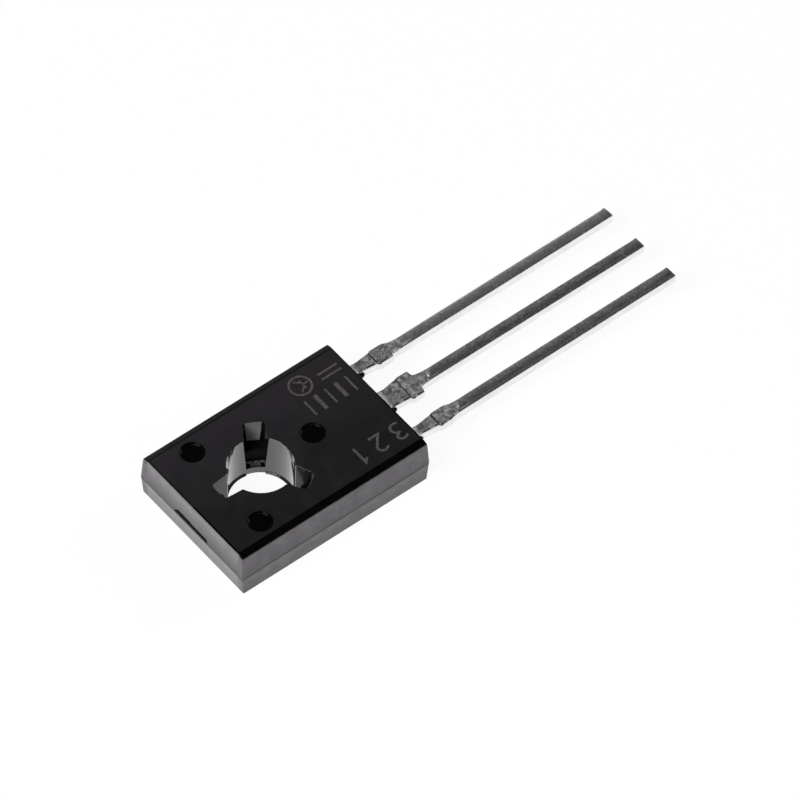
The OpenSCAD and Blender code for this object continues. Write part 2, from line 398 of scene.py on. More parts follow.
class NodeSheet:
    """A node tree of a material or a world, with short calls to add to it."""

    def __init__(self, owner: bpy.types.Material | bpy.types.World, coordinates: str) -> None:
        """Clears the owner's nodes and adds the coordinates of that name."""
        owner.use_nodes = True
        self.tree = owner.node_tree
        self.tree.nodes.clear()
        self.place = self.node("TexCoord").outputs[coordinates]

    def feed(self, entry: Socket, value: Entry) -> None:
        """Joins an input to an output, or sets it to a plain value."""
        if isinstance(value, bpy.types.NodeSocket):
            self.tree.links.new(value, entry)
        else:
            entry.default_value = value

    def node(self, kind: str, entries: dict[str | int, Entry] | None = None,
             **settings: str) -> bpy.types.Node:
        """Adds a node of that kind, sets its attributes and feeds its inputs."""
        made = self.tree.nodes.new("ShaderNode" + kind)
        for key, value in settings.items():
            setattr(made, key, value)
        for key, value in (entries or {}).items():
            self.feed(made.inputs[key], value)
        return made

    def calculate(self, operation: str, *terms: Entry) -> Socket:
        """The result of a Math node's operation on its terms."""
        return self.node("Math", dict(enumerate(terms)), operation=operation).outputs["Value"]

    def axis(self, name: str) -> Socket:
        """One of the coordinates X, Y and Z."""
        return self.node("SeparateXYZ", {"Vector": self.place}).outputs[name]

    def noise(self, size: float, detail: float = 3.0, grain: Triple = (1.0, 1.0, 1.0),
              rough: float = 0.55, warp: float = 0.0) -> Socket:
        """Noise whose features are about the given size.

        Args:
            size: Feature size in millimetres.
            detail: Number of finer octaves.
            grain: Relative frequency along each axis.
            rough: Share that each octave adds.
            warp: Distortion of the pattern.

        Returns:
            The noise value socket, 0 to 1.
        """
        stretched = self.node("Mapping", {"Vector": self.place, "Scale": grain})
        return self.node("TexNoise", {
            "Vector": stretched.outputs["Vector"], "Scale": 1.0 / (size * MM), "Detail": detail,
            "Roughness": rough, "Distortion": warp}).outputs["Fac"]

    def spread(self, value: Socket, low: float, high: float, to_low: float,
               to_high: float) -> Socket:
        """Maps a value from low..high to to_low..to_high, clamped."""
        return self.node("MapRange", {"Value": value, "From Min": low, "From Max": high,
                                      "To Min": to_low, "To Max": to_high}).outputs["Result"]

    def ramp(self, value: Socket, stops: list[tuple[float, Triple]],
             interpolation: str = "LINEAR") -> Socket:
        """Colour that runs through the stops' colours as the value runs through their places."""
        made = self.node("ValToRGB", {"Fac": value})
        made.color_ramp.interpolation = interpolation
        marks = made.color_ramp.elements
        while len(marks) < len(stops):
            marks.new(0.5)
        for mark, (place, colour) in zip(marks, stops):
            mark.position = place
            mark.color = (*colour, 1.0)
        return made.outputs["Color"]

    def mix(self, share: Entry, first: Socket, second: Socket, blend_type: str = "MIX") -> Socket:
        """Mixes two colours: the first where share is 0 and the second where it is 1."""
        return self.node("Mix", {"Factor": share, "A": first, "B": second}, data_type="RGBA",
                         blend_type=blend_type).outputs["Result"]

    def by_height(self, colour: Socket, stops: tuple[Pair, ...]) -> Socket:
        """Multiplies a colour by a level that depends on Z.

        Args:
            colour: The colour to shade.
            stops: Heights in millimetres from low to high, each with its level.

        Returns:
            The shaded colour.
        """
        low, high = stops[0][0], stops[-1][0]
        share = self.spread(self.axis("Z"), low * MM, high * MM, 0.0, 1.0)
        levels = [((height - low) / (high - low), grey(level)) for height, level in stops]
        return self.mix(1.0, colour, self.ramp(share, levels), "MULTIPLY")

    def bump(self, value: Socket, depth: float, under: Socket | None = None) -> Socket:
        """Raises the surface where the value is high, over what lies under it.

        Args:
            value: Height pattern, 0 to 1.
            depth: Full height in millimetres.
            under: The normal to start from.

        Returns:
            The new normal.
        """
        entries = {"Distance": depth * MM, "Strength": 1.0, "Height": value}
        if under is not None:
            entries["Normal"] = under
        return self.node("Bump", entries).outputs["Normal"]


class FinishSheet(NodeSheet):
    """A new material with a Principled shader and Object coordinates."""

    def __init__(self, name: str) -> None:
        """Starts a material of that name."""
        self.material = bpy.data.materials.new(name)
        super().__init__(self.material, "Object")

    def finish(self, entries: dict[str, Entry]) -> bpy.types.Material:
        """Feeds the shader's sockets, joins it to the output and gives the material."""
        shader = self.node("BsdfPrincipled", entries)
        self.node("OutputMaterial", {"Surface": shader.outputs["BSDF"]})
        return self.material


@dataclass(frozen=True)
class MouldFinish:
    """Black epoxy moulding compound as one part of the mould left it.

    Painted light can make the surface paler towards +X, and the fleck is how much paler its dust is.
    The shade levels multiply the colour along Z: painted shade and painted light.
    """

    name: str
    dark: Triple
    light: Triple
    gloss: Pair
    grain_depth: float
    blotch: float = 1.4
    grain_size: float = 0.035
    grain: Triple = (1.0, 1.0, 1.0)
    ior: float = 1.6
    fleck: float = 0.0
    fleck_size: float = 0.05
    # Painted light: how much paler the colour grows towards +X, and over which span of X.
    painted_light_x: float = 0.0
    painted_light_x_from: float = -1.5
    painted_light_x_to: float = 3.4
    coat: float = 0.0
    # Levels along Z that multiply the colour: painted shade and painted light.
    shade: tuple[Pair, ...] = ()

    def build(self) -> bpy.types.Material:
        """Makes the material: broad blotches in colour and gloss over a fine mould grain."""
        sheet = FinishSheet(self.name)
        broad = sheet.noise(self.blotch, detail=4.0, warp=0.6)
        fine = sheet.noise(self.grain_size, detail=2.0, grain=self.grain)
        colour = sheet.ramp(broad, [(0.3, self.dark), (0.75, self.light)])
        # Painted light: the colour turns paler towards +X.
        if self.painted_light_x > 0.0:
            across = sheet.spread(sheet.axis("X"), self.painted_light_x_from * MM, self.painted_light_x_to * MM, 0.0, 1.0)
            added = (self.painted_light_x, 0.75 * self.painted_light_x, self.painted_light_x)
            painted_pale = tuple(base + extra for base, extra in zip(self.light, added))
            colour = sheet.mix(across, colour, sheet.ramp(broad, [(0.0, painted_pale), (1.0, painted_pale)]))
        # Painted shade and light: the colour is multiplied by levels that depend on height.
        if self.shade:
            colour = sheet.by_height(colour, self.shade)
        if self.fleck > 0.0:
            specks = sheet.spread(sheet.noise(self.fleck_size, detail=1.0), 0.76, 0.84, 0.0, 1.0)
            pale = tuple(base + self.fleck for base in self.light)
            colour = sheet.mix(specks, colour, sheet.ramp(fine, [(0.0, pale), (1.0, pale)]))
        swell = sheet.bump(sheet.noise(self.blotch * 0.3, detail=2.0), self.grain_depth * 1.5)
        return sheet.finish({
            "Base Color": colour, "Roughness": sheet.spread(broad, 0.3, 0.75, *self.gloss),
            "Normal": sheet.bump(fine, self.grain_depth, swell), "IOR": self.ior,
            "Coat Weight": self.coat})


@dataclass(frozen=True)
class MarkFinish:
    """Laser marking: scan lines burnt a shade paler into the moulding."""

    name: str = "laser_marking"
    burnt: Triple = (0.03, 0.026, 0.025)
    pale: Triple = (0.085, 0.075, 0.07)
    gloss: Pair = (0.5, 0.7)
    line_depth: float = 0.004

    def build(self) -> bpy.types.Material:
        """Makes the material: uneven brown-grey with a rough, slightly sunk surface."""
        sheet = FinishSheet(self.name)
        patch = sheet.noise(0.09, detail=4.0)
        lines = sheet.noise(0.03, detail=1.0, grain=(1.0, 0.2, 1.0))
        return sheet.finish({
            "Base Color": sheet.ramp(patch, [(0.3, self.burnt), (0.7, self.pale)]),
            "Roughness": sheet.spread(patch, 0.3, 0.7, *self.gloss),
            "Normal": sheet.bump(lines, self.line_depth), "IOR": 1.55})


@dataclass(frozen=True)
class MetalFinish:
    """Plated or bare metal with blotches, drawing lines and a dull or bright skin."""

    name: str
    dark: Triple
    light: Triple
    gloss: Pair
    blotch: float = 0.22
    blotch_depth: float = 0.004
    line_size: float = 0.03
    line_depth: float = 0.0012
    grain: Triple = (1.0, 0.12, 1.0)
    stretch: Triple = (1.0, 0.45, 1.0)
    dull_edge: float = 0.0
    dull_from: float = -0.1
    dull_to: float = 0.3

    def build(self) -> bpy.types.Material:
        """Makes the material: blotched colour and gloss, over lines along the grain.

        A dull edge adds roughness towards the +X edge of each lead. X wraps once for each
        pitch, so that all three leads share it.
        """
        sheet = FinishSheet(self.name)
        blotches = sheet.noise(self.blotch, detail=5.0, grain=self.stretch, rough=0.6, warp=0.8)
        broad = sheet.noise(self.blotch * 5.0, detail=3.0, grain=self.stretch)
        lines = sheet.noise(self.line_size, detail=3.0, grain=self.grain)
        low, high = self.gloss
        rough = sheet.calculate("MULTIPLY", sheet.spread(blotches, 0.36, 0.64, low / high, 1.0),
                                sheet.spread(broad, 0.3, 0.7, 0.75 * high, high))
        if self.dull_edge > 0.0:
            half = LEAD_PITCH / 2.0 * MM
            across = sheet.calculate("WRAP", sheet.axis("X"), half, -half)
            added = sheet.spread(across, self.dull_from * MM, self.dull_to * MM, 0.0, self.dull_edge)
            rough = sheet.calculate("ADD", rough, added)
        waves = sheet.bump(blotches, self.blotch_depth)
        return sheet.finish({
            "Base Color": sheet.ramp(blotches, [(0.28, self.dark), (0.72, self.light)]),
            "Roughness": rough, "Normal": sheet.bump(lines, self.line_depth, waves),
            "Metallic": 1.0})


@dataclass(frozen=True)
class DieFinish:
    """Polished silicon under aluminium fingers that comb across its upper face."""

    name: str = "patterned_silicon"
    silicon: Triple = (0.05, 0.055, 0.07)
    metal: Triple = (0.62, 0.63, 0.64)
    bar_pitch: float = 1.1
    gloss: Pair = (0.18, 0.32)

    def build(self) -> bpy.types.Material:
        """Makes the material: a wave across X, sharpened into bars, picks metal or silicon."""
        sheet = FinishSheet(self.name)
        wave = sheet.node("TexWave", {"Scale": 1.0 / (self.bar_pitch * MM), "Vector": sheet.place},
                          wave_type="BANDS", bands_direction="X")
        bars = sheet.spread(wave.outputs["Fac"], 0.45, 0.55, 0.0, 1.0)
        dust = sheet.noise(0.06)
        bare = sheet.ramp(dust, [(0.0, self.silicon), (1.0, tuple(2.0 * c for c in self.silicon))])
        plated = sheet.ramp(dust, [(0.0, tuple(0.85 * c for c in self.metal)), (1.0, self.metal)])
        return sheet.finish({
            "Base Color": sheet.mix(bars, bare, plated), "Metallic": bars,
            "Roughness": sheet.spread(dust, 0.3, 0.7, *self.gloss),
            "Normal": sheet.bump(bars, 0.002)})


# ---- The moulding ----


@dataclass
class ScrewHole:
    """The drafted hole, its three notches and the closed ring of moulding at its foot."""

    top: float
    radius_top: float = 1.548
    radius_foot: float = 1.528
    lip_radius: float = 1.455
    lip_top: float = 0.085
    notch_reach: float = 2.42
    notch_in: float = 1.11
    notch_out: float = 0.975
    notch_taper: float = 0.12
    end_draft: float = 0.058
    arris: float = 0.07
    notch_corner: float = 0.15
    rim: float = 0.012
    foot_rim: float = 0.03
    support: float = 0.035
    plate_top: float = 1.34
    plate_radius: float = 1.81
    ring_top: float = 0.42
    hidden: float = 0.04
    axes: Triple = (90.0, 210.0, 330.0)
    counts: tuple[int, int, int, int, int] = (7, 6, 12, 7, 18)
    rim_points: int = 6
    wall_steps: int = 14
    plate_steps: int = 9
    ring_steps: int = 7
    ring_step: float = 0.003
    lip_round: float = 0.02
    seam_rows: int = 5

    @property
    def recess(self) -> float:
        """How far the surfaces hidden behind the pad stand in from the back."""
        return 1.5 * self.hidden

    def radius(self, z: np.ndarray) -> np.ndarray:
        """Radius of the hole at a height: straight draft from the face to the back."""
        share = (self.top - z) / self.top
        return self.radius_top + (self.radius_foot - self.radius_top) * share

    def half_sector(self, z: np.ndarray, grow: np.ndarray) -> np.ndarray:
        """Half of the outline round one notch, from the notch's axis to midway to the next.

        In the notch's own frame, u runs out along its axis and v across it. The end wall is
        an arc about the hole's centre, a corner arc leads to the side wall, which is a line
        that closes in outwards, and an arris arc leads to the hole's own circle. Each arc's
        centre lies where two offset curves meet, which a quadratic along the side wall gives.

        Args:
            z: Height of each row.
            grow: How far each row is moved into the moulding, along the outline's normal.

        Returns:
            Points of shape (rows, columns, 2).
        """
        z, grow = z[:, None], grow[:, None]
        hole = self.radius(z)
        narrow = self.notch_taper / 2.0 * (self.top - z)
        wide, tight = self.notch_in / 2.0 - narrow, self.notch_out / 2.0 - narrow
        reach = self.notch_reach - self.end_draft * (self.top - z)
        base = np.stack([hole, wide], -1)
        way = np.stack([reach - hole, tight - wide], -1)
        way /= np.linalg.norm(way, axis=-1)[..., None]
        out = np.stack([-way[..., 1], way[..., 0]], -1)

        def centre(shift: float, distance: np.ndarray) -> np.ndarray:
            """Centre at that side shift from the wall and that distance from the axis."""
            foot = base + shift * out
            along = (foot * way).sum(-1)
            rest = along**2 - (foot**2).sum(-1) + distance**2
            return foot + (np.sqrt(rest) - along)[..., None] * way

        corner = centre(-self.notch_corner, reach - self.notch_corner)
        arris = centre(self.arris, hole + self.arris)
        lean = np.arctan2(out[..., 1], out[..., 0])
        corner_angle = np.arctan2(corner[..., 1], corner[..., 0])
        arris_angle = np.arctan2(arris[..., 1], arris[..., 0])
        ends, bends, sides, arrises = (shares(count)[None] for count in self.counts[:4])
        arcs = np.linspace(0.0, 1.0, self.counts[4])[None]

        end = ray(corner_angle * ends) * (reach + grow)[..., None]
        bend = ray(corner_angle + (lean - corner_angle) * bends)
        bend = corner[:, :1] + bend * (self.notch_corner + grow)[..., None]
        first = corner + self.notch_corner * out
        last = arris - self.arris * out
        side = first + sides[..., None] * (last - first) + grow[..., None] * out
        edge = ray(lean + math.pi + (arris_angle - lean) * arrises)
        edge = arris + edge * (self.arris - grow)[..., None]
        arc = ray(arris_angle + (math.pi / 3.0 - arris_angle) * arcs) * (hole + grow)[..., None]
        return np.concatenate([end, bend, side, edge, arc], axis=1)

    def openness(self) -> np.ndarray:
        """One for the columns of a notch, falling to zero across the arris to the hole's own."""
        ends, bends, sides, arrises, arcs = self.counts
        fall = 1.0 - shares(arrises)
        return np.concatenate([np.ones(ends + bends + sides), fall, np.zeros(arcs)])

    def columns(self) -> np.ndarray:
        """Zone of each column of quads, round the whole hole, above the plate."""
        ends, bends, sides, arrises, arcs = self.counts
        # The notch end columns take a grey finish that carries painted light.
        kinds = [(MouldZone.NOTCH_END, ends), (MouldZone.POLISHED, bends),
                 (MouldZone.NOTCH_SIDE, sides), (MouldZone.BORE, arrises + arcs - 1)]
        half = np.concatenate([np.full(count, kind) for kind, count in kinds])
        sector = np.concatenate([half[-2::-1], half, half[-1:]])
        return np.tile(sector, len(self.axes))

    def clip(self, half: np.ndarray, radius: float) -> np.ndarray:
        """Draws points further out than the radius back to it, along the notch's axis."""
        limit = np.sqrt(radius**2 - half[..., 1]**2)
        return np.stack([np.minimum(half[..., 0], limit), half[..., 1]], -1)

    def ring(self, half: np.ndarray, radius: np.ndarray) -> np.ndarray:
        """Puts every column on a circle, at the same share of its width across the notch."""
        v = half[..., 1] * radius / self.radius(np.array(self.ring_top))
        return np.stack([np.sqrt(radius**2 - v**2), v], -1)

    def all_round(self, half: np.ndarray, z: np.ndarray) -> np.ndarray:
        """Closes half sectors into full loops: each is mirrored and turned to each notch."""
        mirrored = half[:, :0:-1] * np.array([1.0, -1.0])
        sector = np.concatenate([mirrored[:, 1:], half], axis=1)
        heights = np.concatenate([z[:, :0:-1][:, 1:], z], axis=1)
        loops = []
        for axis in self.axes:
            a = math.radians(axis)
            turn = np.array([[math.cos(a), math.sin(a)], [-math.sin(a), math.cos(a)]])
            loops.append(np.concatenate([sector @ turn, heights[..., None]], -1))
        return np.concatenate(loops, axis=1)

    def wall_rows(self) -> tuple[np.ndarray, np.ndarray]:
        """Plan and heights of the rim and of the wall down to the plate's top."""
        rise, drop = arc_shares(self.rim_points)
        rim_z = self.top - self.rim * drop
        wall_z = np.linspace(rim_z[-1] - self.support, self.plate_top, self.wall_steps)
        z = np.concatenate([[self.top], rim_z, wall_z, [self.plate_top - self.hidden]])
        grow = np.concatenate([[self.rim + self.support], self.rim * rise,
                               np.zeros(len(wall_z) + 1)])
        plan = self.half_sector(z, grow)
        return plan, np.broadcast_to(z[:, None], plan.shape[:2])

    def plate_rows(self) -> tuple[np.ndarray, np.ndarray]:
        """Plan and heights beside the plate, whose own hole ends the notches."""
        z = np.linspace(self.plate_top - 2 * self.hidden, self.ring_top, self.plate_steps)
        z = np.append(self.plate_top - self.hidden, z)
        plan = self.clip(self.half_sector(z, np.zeros(len(z))), self.plate_radius + self.hidden)
        return plan, np.broadcast_to(z[:, None], plan.shape[:2])

    def ring_rows(self, foot: np.ndarray) -> tuple[np.ndarray, np.ndarray]:
        """Plan and heights of the ring's upper edge, which is round inside the notches."""
        openness = self.openness()[None]
        rise, drop = (share[:, None] for share in arc_shares(self.rim_points))
        straight = self.ring_top - self.ring_step * np.arange(1, self.rim_points + 1)[:, None]
        z = (self.ring_top - self.foot_rim * drop) * openness + straight * (1.0 - openness)
        return self.ring(foot, self.radius(z) + self.foot_rim * rise * openness), z

    def foot_rows(self, foot: np.ndarray) -> tuple[np.ndarray, np.ndarray]:
        """Plan and heights of the ring, its inner lip, the back's edge and the seam behind."""
        rise, drop = arc_shares(self.rim_points)
        z = np.concatenate([
            np.linspace(self.ring_top - 2 * self.foot_rim, self.lip_top, self.ring_steps),
            self.lip_top - self.lip_round * drop, [self.foot_rim * 1.2], self.foot_rim * rise,
            [0.0, 0.0, 0.0, self.foot_rim, self.recess]])
        lip = np.concatenate([np.zeros(self.ring_steps), 1.0 - rise,
                              np.ones(2 + self.rim_points), np.zeros(4)])
        inner, outer = self.radius_foot + self.foot_rim, self.plate_radius
        radius = np.concatenate([
            self.radius(z[:self.ring_steps + self.rim_points + 1]),
            self.radius_foot + self.foot_rim * drop,
            [inner + self.support, outer - self.support - self.foot_rim, outer - self.foot_rim,
             outer, outer]])
        step = (self.radius_foot - self.lip_radius) * lip[:, None] * (1.0 - self.openness())
        return (self.ring(foot, radius[:, None] - step),
                np.broadcast_to(z[:, None], (len(z), foot.shape[1])))

    def surface(self) -> tuple[np.ndarray, np.ndarray]:
        """The hole's whole skin, from the marked face down to the back.

        Returns:
            The grid of points, and the zone of each quad.
        """
        foot = self.half_sector(np.array([self.ring_top]), np.zeros(1))
        parts = [self.wall_rows(), self.plate_rows(), self.ring_rows(foot), self.foot_rows(foot)]
        plan, height = (np.concatenate(rows) for rows in zip(*parts))
        grid = self.all_round(plan, height)
        zones = np.full((len(grid) - 1, grid.shape[1]), MouldZone.BORE)
        zones[1:len(parts[0][0]) + len(parts[1][0])] = self.columns()
        zones[:1] = MouldZone.FACE
        zones[-self.seam_rows:] = MouldZone.LOWER_WALL
        return grid, zones


@dataclass
class EjectorDent:
    """A round dent that an ejector pin left: a steep wall round a flat, polished floor."""

    centre: Pair
    radius: float = 0.54
    depth: float = 0.1
    draft: float = 0.02
    rim: float = 0.02
    fillet: float = 0.035
    support: float = 0.03
    count: int = 72

    def surface(self, top: float) -> np.ndarray:
        """A profile of radius against height carried round the dent's centre.

        Args:
            top: Height of the marked face.

        Returns:
            The grid of points, whose last row is one point.
        """
        profile = rounded_path([(self.radius + self.rim + self.support, 0.0), (self.radius, 0.0),
                                (self.radius - self.draft, -self.depth), (0.0, -self.depth)],
                               [self.rim, self.fillet], 0.12)
        flat = profile[:, None, :1] * circle(1.0, self.count)[None] + np.array(self.centre)
        return at_height(flat, top + profile[:, 1])


@dataclass
class GateMark:
    """The torn scar above the parting line, where the runner broke away."""

    left: float = -1.19
    right: float = 1.31
    low: float = 1.16
    high: float = 1.45
    slope: float = 0.3
    depth: float = 0.06
    soft: float = 0.03
    sag: float = 0.07
    torn: float = 0.25

    def bite(self, x: np.ndarray, z: np.ndarray) -> np.ndarray:
        """Depth of the scar at places on the end wall: a trapezium with a torn floor."""
        lean = self.slope * (z - self.low) / (self.high - self.low)
        top = self.high - self.sag * blend(self.right - 0.5, self.left, x)
        mask = (blend(self.left, self.left + self.soft, x - 0.3 * lean)
                * (1.0 - blend(self.right - self.soft, self.right, x + lean))
                * blend(self.low, self.low + self.soft, z)
                * (1.0 - blend(top - self.soft, top, z)))
        return self.depth * mask * (1.0 - self.torn + self.torn * ripple(x, z, 0.35, 1.3))


@dataclass
class Flash:
    """A sliver of moulding compound left beside a lead where it comes out."""

    x: float
    width: float
    length: float
    lean: float = 0.0
    low: float = 1.07
    high: float = 1.44
    buried: float = 0.12
    squareness: float = 0.6

    def surface(self, exit_y: float) -> np.ndarray:
        """Rounded rectangles that shrink along the sliver to a point.

        Args:
            exit_y: Y of the wall that the leads come out of.

        Returns:
            The grid of points, whose first and last rows are one point each.
        """
        along = np.linspace(0.0, 1.0, 14)
        shrink = np.sqrt(np.clip(1.0 - along**3, 0.0, 1.0))
        shrink[0] = 0.0
        section = circle(1.0, 24)
        section = np.sign(section) * np.abs(section) ** self.squareness
        wide = self.width / 2.0 * shrink[:, None] * section[:, 0]
        tall = (self.high - self.low) / 2.0 * shrink[:, None] * section[:, 1]
        y = exit_y + self.buried - (self.length + self.buried) * along
        x = self.x + self.lean * along[:, None] + wide
        middle = (self.high + self.low) / 2.0
        return np.stack([x, np.broadcast_to(y[:, None], x.shape), middle + tall], -1)


@dataclass
class PlainMarks:
    """Generic laser marks: pin numbers, plain bars and a ring with the npn symbol in it."""

    stroke: float = 0.12
    ring_at: Pair = (2.43, -4.17)
    ring_radius: float = 0.58
    ring_stroke: float = 0.1
    symbol_stroke: float = 0.075
    digit_height: float = 0.95
    digit_at: Pair = (-1.82, -0.28)
    digit_rows: tuple[float, ...] = (-3.85, -4.95, -6.05)
    bar_x: Pair = (0.68, 1.62)
    bar_y: float = -3.75
    bar_pitch: float = 0.58
    bar_widths: tuple[float, ...] = (0.1, 0.2, 0.1, 0.2, 0.1)
    dash_x: Pair = (2.1, 2.42)
    dash_y: Pair = (-5.15, -6.25)
    dash_width: float = 0.1

    def line(self, path: list[Pair], width: float | None = None) -> np.ndarray:
        """Closes a path of given points into a band of the stroke's width.

        Each point is moved to both sides along the mean of its two legs' normals, divided by
        the cosine of half the turn there, which keeps the band's width through a corner.

        Args:
            path: The middle line of the stroke.
            width: Width of the band, if it isn't the usual stroke.

        Returns:
            The band's outline.
        """
        at = np.array(path, float)
        legs = np.diff(at, axis=0)
        normals = np.stack([-legs[:, 1], legs[:, 0]], -1)
        normals /= np.linalg.norm(normals, axis=1)[:, None]
        before = np.concatenate([normals[:1], normals])
        after = np.concatenate([normals, normals[-1:]])
        mean = before + after
        mean /= np.linalg.norm(mean, axis=1)[:, None]
        reach = (width or self.stroke) / 2.0 / (mean * before).sum(1)
        shift = mean * reach[:, None]
        return np.concatenate([at + shift, (at - shift)[::-1]])

    def digit(self, number: int, x: float, y: float) -> list[list[np.ndarray]]:
        """Strokes of a plain 1, 2 or 3 whose foot is at x and whose left edge is at y."""
        bowl = (np.array([0.29, 0.73]) + np.array([0.27, 0.25])
                * ray(np.radians(range(150, -50, -25)))).tolist()
        belly = (np.array([0.28, 0.28]) + np.array([0.3, 0.28])
                 * ray(np.radians(range(100, -160, -26)))).tolist()
        glyphs = {1: [[(0.1, 0.78), (0.34, 1.0), (0.34, 0.0)]],
                  2: [bowl + [(0.02, 0.02), (0.6, 0.02)]],
                  3: [bowl[:-1] + [(0.3, 0.54)], belly]}
        placed = []
        for path in glyphs[number]:
            turned = [(x - self.digit_height * v, y + self.digit_height * u) for u, v in path]
            placed.append([self.line(turned)])
        return placed

    def shapes(self) -> list[list[np.ndarray]]:
        """Every mark as a group of loops."""
        cx, cy = self.ring_at
        groups = [[circle(self.ring_radius, 48, self.ring_at),
                   circle(self.ring_radius - self.ring_stroke, 48, self.ring_at)]]
        symbol = [[(-0.14, -0.27), (-0.14, 0.27)], [(-0.44, 0.0), (-0.14, 0.0)],
                  [(-0.14, 0.1), (0.16, 0.36)], [(-0.14, -0.1), (0.16, -0.36)]]
        for path in symbol:
            groups.append([self.line([(cx - v, cy + u) for u, v in path], self.symbol_stroke)])
        left, back = self.digit_at
        for number, y in enumerate(self.digit_rows, start=1):
            groups.extend(self.digit(number, left, y + back))
        for k, width in enumerate(self.bar_widths):
            y = self.bar_y - self.bar_pitch * k
            groups.append([self.line([(x, y) for x in self.bar_x], width)])
        for x in self.dash_x:
            groups.append([self.line([(x, y) for y in self.dash_y], self.dash_width)])
        return groups


